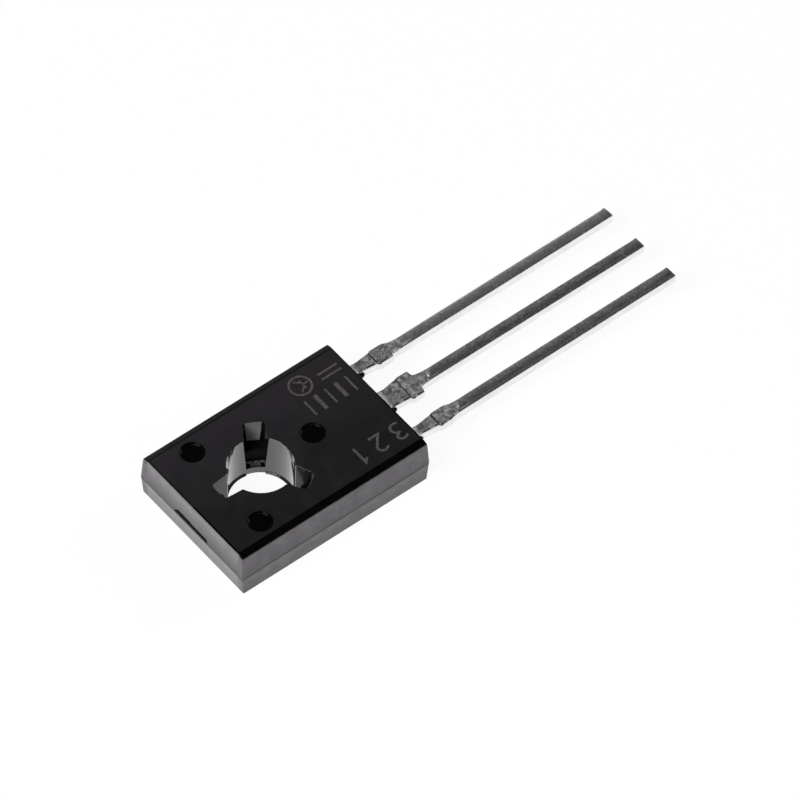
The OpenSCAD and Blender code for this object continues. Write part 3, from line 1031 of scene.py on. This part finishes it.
@dataclass
class Moulding:
    """The one-piece black moulding that holds the three leads."""

    half_width: float
    low_y: float
    high_y: float
    top: float
    parting: float = 1.15
    groove_half: float = 0.016
    groove_depth: float = 0.02
    side_draft: float = 0.048
    end_draft: float = 0.114
    upper_draft: float = 0.115
    bevel_width: float = 0.3
    bevel_depth: float = 0.12
    corner: float = 0.12
    least_corner: float = 0.035
    end_edge: float = 0.04
    end_reach: float = 0.16
    gate_reach: float = 0.2
    plan_points: tuple[int, int] = (130, 70)
    pad_half: float = 2.73
    pad_low: float = -4.58
    pad_high: float = 2.63
    pad_corner: float = 0.3
    dents: list[EjectorDent] = field(default_factory=lambda: [
        EjectorDent((2.45, 1.95)), EjectorDent((-2.45, 1.95)), EjectorDent((0.0, -2.96))])
    flashes: list[Flash] = field(default_factory=lambda: [
        Flash(0.6, 0.13, 0.88, low=1.2, high=1.5), Flash(-0.5, 0.22, 0.68, 0.0, 1.05, 1.48),
        Flash(1.9, 0.22, 0.78, 0.05, 1.05, 1.48), Flash(2.6, 0.07, 0.5),
        Flash(-2.5, 0.06, 0.6)])

    def wall_profile(self) -> np.ndarray:
        """Inset from the parting outline against height, from the back up to the face."""
        groove = self.groove_half
        side = self.upper_draft - 0.006
        foot = self.side_draft
        return rounded_path([(foot + 0.1, 0.0), (foot, 0.0),
                             (0.0, self.parting - groove), (self.groove_depth, self.parting),
                             (0.0, self.parting + groove), (side, self.top - self.bevel_depth),
                             (side + self.bevel_width, self.top),
                             (side + self.bevel_width + 0.12, self.top)],
                            [0.015, 0.012, 0.004, 0.012, 0.06, 0.12], 0.05, 6)

    def shell(self) -> tuple[np.ndarray, np.ndarray]:
        """The outer walls: rounded rectangles whose inset follows the profile.

        The bevel takes the profile's inset from the long sides only. At both ends the wall
        keeps its draft up to a small edge radius.

        Returns:
            The grid of points, and the zone of each quad.
        """
        profile = self.wall_profile()
        inset, z = profile[:, 0], profile[:, 1]
        end = self.end_inset(inset, z)
        radius = np.maximum(self.corner - inset, self.least_corner)
        plan = rounded_rectangle(self.half_width - inset, self.low_y + end, self.high_y - end,
                                 radius, *self.plan_points)
        x, y = plan[..., 0], plan[..., 1]
        height = np.broadcast_to(z[:, None], x.shape)
        gate = GateMark()
        bite = np.where(y > self.high_y - self.gate_reach, gate.bite(x, height), 0.0)
        grid = np.stack([x, y - bite, height], -1)
        zones = self.shell_zones(x[1:], y[1:], (z[1:] + z[:-1])[:, None] / 2.0)
        return grid, np.where(bite[1:] > 0.3 * gate.depth, MouldZone.GATE, zones)

    def end_inset(self, inset: np.ndarray, z: np.ndarray) -> np.ndarray:
        """Inset of the two ends, which have a draft and a small edge radius but no bevel.

        Args:
            inset: The long sides' inset at each height.
            z: The heights.

        Returns:
            The ends' inset at each height.
        """
        draft = self.upper_draft * (z - self.parting) / (self.top - self.parting)
        lift = np.clip((z - (self.top - self.end_edge)) / self.end_edge, 0.0, 1.0)
        upper = draft + self.end_edge * (1.0 - np.sqrt(1.0 - lift**2))
        flat = z >= self.top - 1e-9
        upper = upper + np.where(flat, inset - inset[flat].min(), 0.0)
        lean = (self.end_draft - self.side_draft) * (1.0 - z / self.parting)
        return np.where(z > self.parting + 0.02, upper, inset + np.maximum(lean, 0.0))

    def shell_zones(self, x: np.ndarray, y: np.ndarray, middle: np.ndarray) -> np.ndarray:
        """Zone of each quad of the outer walls.

        Args:
            x: X of each quad.
            y: Y of each quad.
            middle: Mean height of each row of quads, as a column.

        Returns:
            The zones, of the shape of x.
        """
        wall_top = self.top - self.bevel_depth + 0.01
        wall = np.where(middle < self.parting, MouldZone.LOWER_WALL, MouldZone.UPPER_WALL)
        # The +X bevel takes a paler, rougher copy of the polished bevel: painted light.
        bevel = np.where(x > 0.0, MouldZone.FAR_BEVEL, MouldZone.POLISHED)
        zones = np.where(middle < wall_top, wall, bevel)
        zones[-1] = MouldZone.FACE
        half_y, middle_y = (self.high_y - self.low_y) / 2.0, (self.low_y + self.high_y) / 2.0
        ends = np.abs(y - middle_y) > half_y - self.end_reach
        flank = np.abs(x) < self.half_width - self.upper_draft - self.bevel_width
        upright = (middle > 0.0) & (middle < self.top - 0.02)
        # The upright walls at both ends take a paler copy of the wall finish: painted light.
        return np.where(ends & flank & upright, MouldZone.END_WALL, zones)

    def finishes(self) -> list[bpy.types.Material]:
        """The moulding's materials, in the order of MouldZone."""
        finishes = [
            # Marked face: its colour turns paler towards +X, which is painted light.
            MouldFinish("moulding_face", (0.0055, 0.0055, 0.006), (0.008, 0.0078, 0.0082),
                        (0.3, 0.4), 0.0007, fleck=0.02, painted_light_x=0.008),
            # Upper wall: its grey is partly painted light for the bright floor's reflection, and its
            # levels paint shade at the parting line and under the bevel.
            MouldFinish("moulding_upper_wall", (0.045, 0.038, 0.046), (0.108, 0.1, 0.11),
                        (0.3, 0.42), 0.0016, blotch=0.7, ior=1.55, grain_size=0.05,
                        shade=((1.15, 0.3), (1.2, 0.7), (1.9, 1.0), (2.32, 1.1),
                               (2.45, 0.5))),
            # Lower wall: its grey is partly painted light for the bright floor's reflection, and its
            # levels paint shade at the foot and at the parting line and light just below the parting
            # line.
            MouldFinish("moulding_lower_wall", (0.045, 0.041, 0.046), (0.115, 0.107, 0.115),
                        (0.36, 0.46), 0.0026, blotch=0.6, grain=(1.0, 1.0, 0.35),
                        ior=1.5, shade=((0.0, 0.8), (0.6, 0.95), (0.9, 1.25), (1.02, 1.1),
                                        (1.14, 0.2))),
            MouldFinish("moulding_bore", grey(0.003), grey(0.006), (0.1, 0.16), 0.0003,
                        blotch=0.8, grain=(1.0, 1.0, 0.15), ior=1.5, coat=1.0),
            MarkFinish(),
            MouldFinish("moulding_torn_gate", grey(0.003), grey(0.008), (0.6, 0.8), 0.02,
                        blotch=0.2, grain_size=0.06, ior=1.15),
            MouldFinish("moulding_polished", grey(0.001), (0.0016, 0.0015, 0.0016),
                        (0.18, 0.26), 0.0002, ior=1.22),
            # Notch end wall: a grey that is painted light, with painted shade at its foot and
            # painted light just above it.
            MouldFinish("moulding_notch_end_painted_light", (0.13, 0.127, 0.13), (0.17, 0.166, 0.17),
                        (0.5, 0.6), 0.001, ior=1.45, blotch=0.4,
                        shade=((1.34, 0.3), (1.42, 1.6), (1.8, 1.1), (2.55, 0.75))),
            # End walls: a paler copy of the wall finish, painted light, with painted shade and light
            # by height.
            MouldFinish("moulding_end_wall_painted_light", (0.095, 0.088, 0.096), (0.155, 0.146, 0.156),
                        (0.3, 0.42), 0.0016, blotch=0.9, ior=1.55, grain_size=0.05,
                        shade=((0.0, 0.77), (0.6, 0.92), (0.9, 1.2), (1.02, 1.06), (1.14, 0.15),
                               (1.25, 0.3), (1.9, 0.75), (2.35, 1.1), (2.5, 0.7))),
            # Bevel on the +X side: a paler copy of the polished bevel, painted light.
            MouldFinish("moulding_far_bevel_painted_light", grey(0.004), grey(0.006), (0.28, 0.36), 0.0004,
                        ior=1.4),
            MouldFinish("moulding_notch_side", grey(0.003), grey(0.006), (0.12, 0.2), 0.0003,
                        blotch=0.8, grain=(1.0, 1.0, 0.15), ior=1.5, coat=0.12),
        ]
        return [finish.build() for finish in finishes]

    def build(self) -> bpy.types.Object:
        """Joins the walls, the hole, the dents and the flat fields into one closed mesh."""
        draft = MeshDraft()
        shell, shell_zones = self.shell()
        draft.add_grid(shell, shell_zones)
        hole = ScrewHole(self.top)
        skin, skin_zones = hole.surface()
        draft.add_grid(skin, skin_zones)
        dents = [dent.surface(self.top) for dent in self.dents]
        for dent in dents:
            draft.add_grid(dent, MouldZone.POLISHED)
        draft.add_field(self.top, [shell[-1, :, :2], skin[0, :, :2]] + [d[0, :, :2] for d in dents],
                        MouldZone.FACE, PlainMarks().shapes(), MouldZone.MARK)
        seam = np.array([0.05, 0.02, 0.0, 0.0])
        depth = np.array([0.0, 0.0, 0.02, hole.recess])
        window = rounded_rectangle(self.pad_half + seam, self.pad_low - seam,
                                   self.pad_high + seam, np.full(4, self.pad_corner), 40, 50)
        window = at_height(window, depth)
        draft.add_grid(window, MouldZone.LOWER_WALL)
        draft.add_field(hole.recess, [window[-1, :, :2], skin[-1, :, :2]],
                        MouldZone.LOWER_WALL)
        draft.add_field(0.0, [shell[0, :, :2], window[0, :, :2]], MouldZone.LOWER_WALL)
        for flash in self.flashes:
            draft.add_grid(flash.surface(self.low_y), MouldZone.GATE)
        return draft.build("moulding", "moulding", "moulded_body", self.finishes())


# ---- Leads and heat spreader ----


@dataclass
class Lead:
    """One stamped lead outside the moulding, from inside the wall to its tip.

    It has a neck, a pressed crease, a shoulder and a long blade. Places along it are
    distances from the moulding's wall. Where a field is a pair of widths, they are half
    widths towards -X and +X.
    """

    side: Direction
    exit_y: float
    tip_y: float
    low_z: float
    high_z: float
    neck: Pair
    crease: Pair
    shoulder: Pair
    seed: float
    blade: float = 0.66
    shift: float = 0.0
    sway: float = 0.0
    sway_over: float = 15.0
    lift: float = 0.05
    tilt: float = 0.0
    cant: float = 0.0
    neck_to: float = 0.75
    crease_at: float = 1.5
    crease_half: float = 0.03
    crease_depth: float = 0.012
    crease_round: float = 0.028
    shoulder_from: float = 1.62
    shoulder_to: float = 2.2
    reach: float = 0.0
    square: Pair = (0.0, 0.0)
    lip: float = 0.6
    blend_to: float = 2.6
    dip_at: float = 2.66
    dip_run: float = 0.28
    dip_depth: float = 0.068
    dip_left: float = 0.02
    root_rise: float = 0.14
    root_span: Pair = (0.7, -0.2)
    blade_from: Pair = (2.4, 3.2)
    wear_depth: float = 0.004
    torn: float = 0.06
    roll_over: float = 0.24
    roll_depth: float = 0.2
    roll_from: Pair = (2.3, 3.0)
    root_over: float = 0.07
    root_fall: float = 0.03
    root_round: float = 0.09
    round_loss: float = 0.04
    arris: float = 0.045
    # Spans of the -X top edge that get painted shade: near the step, and in broken stretches.
    step_shade: Pair = (0.07, 0.09)
    edge_shade: Pair = (0.5, 2.35)
    tip_fade: Pair = (0.25, 0.03)
    tip_round: float = 0.05
    tip_shrink: float = 0.06
    tip_rows: tuple[Pair, ...] = ((0.985, 0.01), (0.96, 0.002), (0.93, 0.0), (0.0, 0.0))
    tip_steps: tuple[float, ...] = (0.12, 0.08, 0.05, 0.04, 0.03, 0.02)
    fine: Triple = (-0.4, 3.6, 0.035)
    coarse: float = 0.14
    bend_points: int = 7
    face_points: int = 10

    @property
    def length(self) -> float:
        """Distance from the moulding's wall to the tip."""
        return self.exit_y - self.tip_y

    def half_width(self, d: np.ndarray, side: int) -> np.ndarray:
        """Half width against distance from the moulding.

        The neck runs straight, widens evenly to the crease, steps out to the shoulder and
        closes in to the long blade along a smooth step, or along a lip and a quarter arc
        where the shoulder ends square.

        Args:
            d: Distances from the moulding's wall.
            side: 0 for the -X half, 1 for the +X half.

        Returns:
            The half widths.
        """
        neck, crease, shoulder = self.neck[side], self.crease[side], self.shoulder[side]
        widened = np.clip((d - self.neck_to) / (self.crease_at - self.neck_to), 0.0, 1.0)
        width = neck + (crease - neck) * widened
        width = width + (shoulder - crease) * blend(self.crease_at - 0.02, self.shoulder_from, d)
        end = self.shoulder_to + self.reach * (1 - side)
        excess = shoulder - self.blade / 2.0
        smooth = excess * blend(end, self.blend_to, d)
        t = np.clip((d - end) / (self.blend_to - end), 0.0, 1.0)
        lip = blend(end - 0.02, end + 0.05, d)
        sharp = excess * (self.lip * lip + (1.0 - self.lip) * np.sqrt(1.0 - (1.0 - t) ** 2))
        square = self.square[side]
        return width - (square * sharp + (1.0 - square) * smooth)

    def stations(self) -> np.ndarray:
        """Distances at which the section is taken: close at the shoulder and at the tip."""
        coarse = np.arange(self.fine[1], self.length - self.tip_steps[0], self.coarse)
        return np.concatenate([np.arange(*self.fine), coarse,
                               self.length - np.array(self.tip_steps)])

    def zones(self) -> np.ndarray:
        """Zone of each quad.

        The neck is a paler tin up to a slanting line, painted light against the moulding's shadow,
        the shoulder is matt up to the dip, and the blade beyond is bright. The crease, the
        shoulder's step and stretches of the top edge on the -X side are dark, painted shade. The
        sides and the underside are sheared, and their paler tin is partly painted reflection of the
        floor.

        Returns:
            The zones, of shape (rows - 1, columns).
        """
        d = self.stations()
        middle = (d[1:] + d[:-1]) / 2.0
        middle = np.concatenate([middle[:1], middle,
                                 np.full(len(self.tip_rows), middle[-1])])[:, None]
        turn = 2 * self.bend_points + self.face_points
        column = np.arange(2 * turn)[None]
        upper = (column > 2) & (column < turn - 2)
        kinds = np.where(middle < self.dip_at, LeadZone.SHOULDER, LeadZone.TIN)
        # The neck up to a slanting line takes a paler tin: painted light against the moulding's
        # shadow.
        root = middle < (0.5 + 0.5 * column / turn) * self.root_span[0]
        kinds = np.where(root, LeadZone.NECK, kinds)
        # Sides and underside: sheared tin whose paler colour is partly painted reflection of the
        # floor.
        kinds = np.where(upper, kinds, LeadZone.SIDE)
        near, half = self.step_shade
        step = np.abs(middle - self.crease_at - near) < half
        low, high = self.edge_shade
        shaded_edge = (middle > low) & (middle < high) & (np.sin(9.0 * middle + self.seed) > -0.4)
        edge = column < self.bend_points - 1
        creased = (np.abs(middle - self.crease_at) < self.crease_half) & upper
        # Painted shade: the crease, the step and stretches of the -X top edge get the dark tin.
        dark = creased | (shaded_edge & edge & (column > 2)) | (step & edge)
        return np.where(dark, LeadZone.PAINTED_SHADE, kinds)

    def section(self, d: np.ndarray) -> tuple[np.ndarray, np.ndarray]:
        """The lead's rounded section at each distance.

        The upper face falls away to the +X edge along a quarter ellipse, where the punch
        drew it over, and its other edges are round.

        Args:
            d: Distances from the moulding's wall.

        Returns:
            X from the middle line and Z from the foot, of shape (distances, columns).
        """
        left, right = self.half_width(d, 0), self.half_width(d, 1)
        top = self.high_z - self.low_z
        flat = blend(*self.roll_from, d)
        whole = flat * (1.0 - 0.5 * blend(*self.tip_fade, self.length - d))
        over = self.root_over + (self.roll_over - self.root_over) * whole
        fall = self.root_fall + (self.roll_depth * self.roll_over - self.root_fall) * whole
        soft = self.root_round - self.round_loss * flat
        small = np.full_like(d, self.arris)
        corners = ((-left + soft, top - soft, soft, soft, math.pi),
                   (right - over, top - fall, over, fall, math.pi / 2.0),
                   (right - small, small, small, small, 0.0),
                   (-left + small, small, small, small, -math.pi / 2.0))
        quarter = np.linspace(0.0, math.pi / 2.0, self.bend_points)
        bends = [(x[:, None] + wide[:, None] * np.cos(start - quarter),
                  z[:, None] + tall[:, None] * np.sin(start - quarter))
                 for x, z, wide, tall, start in corners]
        face = np.linspace(0.0, 1.0, self.face_points + 2)[1:-1]
        xs, zs = [], []
        for (x, z), (next_x, next_z), height in zip(bends[::2], bends[1::2], (top, 0.0)):
            run = x[:, -1:] + face * (next_x[:, :1] - x[:, -1:])
            xs.extend((x, run, next_x))
            zs.extend((z, np.full_like(run, height), next_z))
        return np.concatenate(xs, axis=1), np.concatenate(zs, axis=1)

    def relief(self, d: np.ndarray, x: np.ndarray, z: np.ndarray) -> np.ndarray:
        """Presses the upper face's relief into the section's heights.

        The face rises at the root, is grooved at the crease and dips along a torn edge where
        the blade begins. It ripples all over, and it leans to one side.

        Args:
            d: Distances from the moulding's wall, as a column.
            x: X from the middle line.
            z: Z from the foot.

        Returns:
            The new heights.
        """
        across = x / (self.blade / 2.0)
        upper = blend(0.3, 0.9, z / (self.high_z - self.low_z))
        groove = np.exp(-((d - self.crease_at) / self.crease_round) ** 2)
        wear = self.wear_depth * ripple(x * 3.0, d, 1.6, self.seed)
        torn = ripple(x * 6.0, d * 4.0, 1.0, self.seed + 1.3)
        past = d - self.dip_at - 0.1 * across + self.torn * torn
        dip = (self.dip_depth * blend(0.0, self.dip_run, past)
               - (self.dip_depth - self.dip_left) * blend(self.dip_run, 4.0 * self.dip_run, past))
        dip = dip * blend(-0.9, -0.3, across) * (1.0 - 0.7 * blend(0.4, 0.9, across))
        rise = self.root_rise * blend(*self.root_span, d)
        z = z + upper * (wear + rise - self.crease_depth * groove - dip)
        beyond = blend(*self.blade_from, d)
        return z + upper * x * (self.tilt * beyond - self.cant * (1.0 - beyond))

    def surface(self) -> np.ndarray:
        """The lead's skin: the section carried along the lead and closed at both ends.

        Returns:
            The grid of points, whose first and last rows are one point each.
        """
        d = self.stations()
        x, z = self.section(d)
        z = self.relief(d[:, None], x, z)
        shrink = 1.0 - self.tip_shrink * blend(self.tip_round, 0.0, self.length - d)[:, None]
        mid = (self.high_z - self.low_z) / 2.0
        x, z = x * shrink, mid + (z - mid) * shrink
        share = d / self.sway_over
        centre = LEAD_PITCH * self.side + (self.shift + self.sway * share)
        raised = self.lift * np.maximum(share, 0.0)
        y = np.broadcast_to((self.exit_y - d)[:, None], x.shape)
        grid = np.stack([centre[:, None] + x, y, self.low_z + raised[:, None] + z], -1)
        rim = grid[-1] * np.array([1.0, 0.0, 1.0])
        middle = rim.mean(0)
        ends = [middle + (rim - middle) * size + np.array([0.0, self.tip_y + inward, 0.0])
                for size, inward in self.tip_rows]
        start = np.broadcast_to(grid[0].mean(0), grid[0].shape)
        return np.concatenate([start[None], grid, np.array(ends)])


@dataclass
class HeatSpreader:
    """The punched plate that carries the die, with its step, its pad and its screw hole."""

    half_width: float = 3.05
    low_y: float = -4.9
    high_y: float = 2.95
    thickness: float = 1.34
    pad_inset: float = 0.32
    pad_height: float = 0.42
    hole: float = 1.81
    burr: float = 0.035
    burr_top: float = 0.53
    corner: float = 0.3

    def edge(self) -> np.ndarray:
        """The plate's edge: rounded rectangles whose inset follows the stepped profile."""
        inset = self.pad_inset
        profile = rounded_path([(inset + 0.1, 0.0), (inset, 0.0), (inset, self.pad_height),
                                (0.0, self.pad_height), (0.0, self.thickness),
                                (0.1, self.thickness)],
                               [0.03, 0.03, 0.04, 0.06], 0.15)
        plan = rounded_rectangle(self.half_width - profile[:, 0], self.low_y + profile[:, 0],
                                 self.high_y - profile[:, 0],
                                 np.full(len(profile), self.corner), 36, 48)
        return at_height(plan, profile[:, 1])

    def hole_wall(self) -> np.ndarray:
        """The punched hole: burnished at the top, torn wider below and burred at its foot."""
        profile = rounded_path([(self.hole + 0.1, self.thickness), (self.hole, self.thickness),
                                (self.hole - 0.01, 0.9), (self.hole + 0.015, self.burr_top),
                                (self.hole - self.burr, 0.44), (self.hole + 0.01, 0.36),
                                (self.hole + 0.035, 0.0), (self.hole + 0.12, 0.0)],
                               [0.05, 0.3, 0.03, 0.015, 0.04, 0.02], 0.06)
        ring = circle(1.0, 144)
        flat = profile[:, None, :1] * ring[None]
        height = np.broadcast_to(profile[:, 1][:, None], flat.shape[:2])
        angle = np.arctan2(flat[..., 1], flat[..., 0])
        torn = blend(1.25, 0.8, height) * blend(0.02, 0.3, height)
        grow = 1.0 + 0.006 * torn * ripple(angle * self.hole, height * 0.4, 0.5, 0.7)
        return np.concatenate([flat * grow[..., None], height[..., None]], -1)

    def add_to(self, draft: MeshDraft) -> None:
        """Adds the plate's edge, its hole and its two faces to a draft."""
        edge, wall = self.edge(), self.hole_wall()
        draft.add_grid(edge)
        # The upper hole wall and the top face get a near-black film: painted dark reflection.
        filmed = wall[1:, :, 2] > self.burr_top - 0.01
        draft.add_grid(wall, np.where(filmed, LeadZone.PAINTED_DARK_FILM, LeadZone.PUNCHED))
        draft.add_field(0.0, [edge[0, :, :2], wall[-1, :, :2]])
        draft.add_field(self.thickness, [edge[-1, :, :2], wall[0, :, :2]], LeadZone.PAINTED_DARK_FILM)


@dataclass
class LeadFrame:
    """The three stamped leads and the heat spreader that the centre lead belongs to."""

    exit_y: float
    tip_y: float
    low_z: float
    high_z: float

    def leads(self) -> dict[str, Lead]:
        """The three leads by the name of the CAD node that each stands for."""
        place = {"exit_y": self.exit_y, "tip_y": self.tip_y, "low_z": self.low_z,
                 "high_z": self.high_z}
        return {
            "emitter_lead": Lead(
                Direction.EMITTER_SIDE, neck=(0.27, 0.29), crease=(0.34, 0.38),
                shoulder=(0.43, 0.43), seed=0.4, blade=0.69, shift=0.022, sway=-0.02, lift=0.09,
                tilt=-0.02, crease_half=0.05, crease_depth=0.02, square=(0.4, 0.0),
                roll_over=0.42, **place),
            "collector_frame": Lead(
                Direction.MIDDLE, neck=(0.5, 0.54), crease=(0.55, 0.65), shoulder=(0.66, 0.69),
                seed=2.1, blade=0.645, shift=0.055, sway=-0.035, tilt=0.05, cant=-0.09,
                square=(1.0, 1.0), dip_at=2.76, dip_depth=0.06, roll_over=0.46, **place),
            "base_lead": Lead(
                Direction.BASE_SIDE, neck=(0.28, 0.31), crease=(0.36, 0.38),
                shoulder=(0.45, 0.44), seed=3.7, blade=0.69, shift=0.08, sway=0.01, tilt=-0.09,
                reach=0.14, square=(1.0, 0.0), lip=0.85, dip_at=2.86, dip_depth=0.09,
                roll_over=0.6, roll_depth=0.22, **place),
        }

    def finishes(self) -> list[bpy.types.Material]:
        """The metal's materials, in the order of LeadZone."""
        finishes = [
            MetalFinish("tin_plating", (0.48, 0.475, 0.47), (0.86, 0.855, 0.85),
                        (0.27, 0.37), blotch=0.1, blotch_depth=0.0038,
                        stretch=(1.0, 0.7, 1.0), dull_edge=0.19),
            MetalFinish("punched_copper_alloy", (0.3, 0.28, 0.27), (0.5, 0.48, 0.47), (0.25, 0.4),
                        grain=(1.0, 1.0, 0.1), stretch=(1.0, 1.0, 0.3)),
            # Near-black, weakly reflecting film on the plate: painted dark reflection.
            MouldFinish("painted_dark_film", grey(0.001), grey(0.006), (0.35, 0.6), 0.001, blotch=0.5,
                        ior=1.12),
            # Dark tin for the crease, the step and the -X top edge: painted shade.
            MetalFinish("tin_painted_shade", grey(0.08), (0.18, 0.178, 0.175), (0.5, 0.6)),
            MetalFinish("matt_tin", (0.44, 0.435, 0.43), (0.84, 0.835, 0.83), (0.42, 0.66),
                        blotch=0.17, blotch_depth=0.009, stretch=(1.0, 0.8, 1.0)),
            # Sheared sides: paler tin that is partly painted light, for the floor's reflection.
            MetalFinish("sheared_tin_painted_light", (0.76, 0.755, 0.75), (0.94, 0.935, 0.93), (0.3, 0.42),
                        blotch=0.3, blotch_depth=0.003),
            # Neck tin: a paler copy of the matt tin, painted light.
            MetalFinish("tin_painted_light", (0.72, 0.715, 0.71), (0.98, 0.975, 0.97), (0.5, 0.72),
                        blotch=0.17, blotch_depth=0.014, stretch=(1.0, 0.8, 1.0)),
        ]
        return [finish.build() for finish in finishes]

    def build(self) -> list[bpy.types.Object]:
        """Builds each lead's mesh, with the heat spreader in the centre lead's piece."""
        finishes = self.finishes()
        pieces = []
        for node, lead in self.leads().items():
            draft = MeshDraft()
            draft.add_grid(lead.surface(), lead.zones())
            if lead.side is Direction.MIDDLE:
                HeatSpreader().add_to(draft)
            name = node.replace("collector_frame", "collector_lead_and_plate")
            pieces.append(draft.build(name + "_formed", "tinned_copper", node, finishes))
        return pieces


# ---- What the moulding hides ----


@dataclass
class InnerPieces:
    """The solder, the die and the two bond wires, whose CAD shapes stay as they are."""

    def dress(self) -> None:
        """Gives each inner node its own finish."""
        wire = MetalFinish("bond_aluminium", (0.7, 0.7, 0.71), (0.82, 0.82, 0.83), (0.2, 0.3),
                           blotch=0.1, blotch_depth=0.001).build()
        finishes = {
            "die_solder": MetalFinish("soft_solder", (0.45, 0.46, 0.47), (0.62, 0.63, 0.64),
                                      (0.35, 0.5), grain=(1.0, 1.0, 1.0)).build(),
            "silicon_die": DieFinish().build(),
            "emitter_wire": wire,
            "base_wire": wire,
        }
        for node, material in finishes.items():
            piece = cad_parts[node]
            piece.data.materials.clear()
            piece.data.materials.append(material)
            LOG.info("%s: finish %s", node, material.name)


# ---- Studio ----


def compass(azimuth: float, elevation: float) -> Vector:
    """Unit vector to a place: azimuth 0 is at -Y and 90 at +X, elevation is above the floor."""
    a, e = math.radians(azimuth), math.radians(elevation)
    return Vector((math.sin(a) * math.cos(e), -math.cos(a) * math.cos(e), math.sin(e)))


@dataclass(frozen=True)
class SoftBox:
    """A square area lamp that looks at the object from a direction, with sizes in metres."""

    name: str
    azimuth: float
    elevation: float
    distance: float
    size: float
    strength: float

    def build(self, aim: Vector) -> None:
        """Places the lamp, so strong that a white surface facing it shows the named strength.

        A square lamp of side s and power P has a radiance of P / (4 * s * s), which over its
        solid angle s * s / (D * D) gives a white diffuse surface P / (4 * pi * D * D).
        """
        lamp = bpy.data.lights.new(self.name, "AREA")
        lamp.shape = "SQUARE"
        lamp.size = self.size
        lamp.energy = self.strength * 4.0 * math.pi * self.distance**2
        way = compass(self.azimuth, self.elevation)
        turned = way.to_track_quat("Z", "Y").to_matrix().to_4x4()
        stand(self.name, lamp, Matrix.Translation(aim + way * self.distance) @ turned)


@dataclass
class Studio:
    """Camera, pale floor, soft lamps and a dim room.

    Camera places are in millimetres. The floor's and the lamps' sizes and distances are in
    metres.
    """

    azimuth: float = 230.213
    elevation: float = 52.260
    roll: float = 1.362
    distance: float = 427.37
    lens: float = 429.42
    sensor: float = 36.0
    aim: Triple = (-1.157, -7.027, 2.878)
    room: tuple[Pair, ...] = ((0.0, 1.0), (0.03, 1.0), (0.07, 0.15), (0.35, 0.14), (0.6, 0.1),
                              (0.8, 0.035), (1.0, 0.012))
    floor_size: float = 4.0
    floor_drop: float = 0.02
    floor_paint: float = 0.92
    floor_glow: float = 0.93
    clip_end: float = 20.0
    lamps: tuple[SoftBox, ...] = (
        SoftBox("key_softbox", 187.0, 42.0, 0.9, 0.5, 1.05),
        SoftBox("fill_softbox", 245.0, 38.0, 0.9, 0.35, 0.08),
        SoftBox("back_softbox", 355.0, 28.0, 0.9, 0.4, 0.22),
    )

    def camera(self) -> None:
        """Places the camera on its direction from the aim point, with a long lens."""
        back = compass(self.azimuth, self.elevation)
        right = Vector((0.0, 0.0, 1.0)).cross(back).normalized()
        up = back.cross(right)
        turn = math.radians(self.roll)
        across = math.cos(turn) * right + math.sin(turn) * up
        upright = math.cos(turn) * up - math.sin(turn) * right
        data = bpy.data.cameras.new("camera")
        data.lens = self.lens
        data.sensor_width = self.sensor
        data.clip_end = self.clip_end
        axes = Matrix((across, upright, back)).transposed().to_4x4()
        place = (Vector(self.aim) + back * self.distance) * MM
        bpy.context.scene.camera = stand("camera", data, Matrix.Translation(place) @ axes)

    def floor(self) -> None:
        """Lays a pale floor that looks white to the camera and to mirrored and bent rays."""
        half = self.floor_size / 2.0
        corners = [(x * half, y * half, -self.floor_drop * MM)
                   for x, y in ((-1, -1), (1, -1), (1, 1), (-1, 1))]
        mesh = bpy.data.meshes.new("floor")
        mesh.from_pydata(corners, [], [(0, 1, 2, 3)])
        material = bpy.data.materials.new("pale_floor")
        sheet = NodeSheet(material, "Object")
        paint = sheet.node("BsdfDiffuse", {"Color": (*grey(self.floor_paint), 1.0)})
        glow = sheet.node("Emission", {"Strength": 1.0})
        rays = sheet.node("LightPath").outputs
        share = sheet.calculate("MULTIPLY", rays["Is Camera Ray"], self.floor_glow)
        share = sheet.calculate("MAXIMUM", share, rays["Is Glossy Ray"])
        share = sheet.calculate("MAXIMUM", share, rays["Is Transmission Ray"])
        mixed = sheet.node("MixShader", {"Fac": share, 1: paint.outputs[0], 2: glow.outputs[0]})
        sheet.node("OutputMaterial", {"Surface": mixed.outputs[0]})
        mesh.materials.append(material)
        made = stand("floor", mesh, Matrix())
        made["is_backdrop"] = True

    def world(self) -> None:
        """A room that is white round the horizon and darkens towards its ceiling."""
        world = bpy.data.worlds.new("room")
        bpy.context.scene.world = world
        sheet = NodeSheet(world, "Generated")
        levels = [(height, grey(level)) for height, level in self.room]
        colour = sheet.ramp(sheet.axis("Z"), levels, "EASE")
        glow = sheet.node("Background", {"Color": colour})
        sheet.node("OutputWorld", {"Surface": glow.outputs[0]})

    def build(self) -> None:
        """Sets up the whole studio and the plain view transform."""
        self.camera()
        self.floor()
        self.world()
        for lamp in self.lamps:
            lamp.build(Vector(self.aim) * MM)
        bpy.context.scene.view_settings.view_transform = "Standard"


def main() -> None:
    """Builds the studio and every piece in order."""
    logging.basicConfig(level=logging.INFO, format="%(name)s %(message)s")
    Studio().build()
    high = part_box("moulded_body")[1] / MM
    lead_low, lead_high = (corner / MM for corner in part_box("emitter_lead"))
    exit_y = high.y - BODY_LENGTH
    Moulding(half_width=high.x, low_y=exit_y, high_y=high.y, top=high.z).build()
    LeadFrame(exit_y=exit_y, tip_y=lead_low.y, low_z=lead_low.z, high_z=lead_high.z).build()
    InnerPieces().dress()


def write_sizes() -> None:
    """Gathers the CAD model's box and the visual model's box as plain lists."""
    boxes = [[list(corner) for corner in box] for box in (CAD_BOX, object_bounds())]


if __name__ == "__main__":
    main()
    write_sizes()
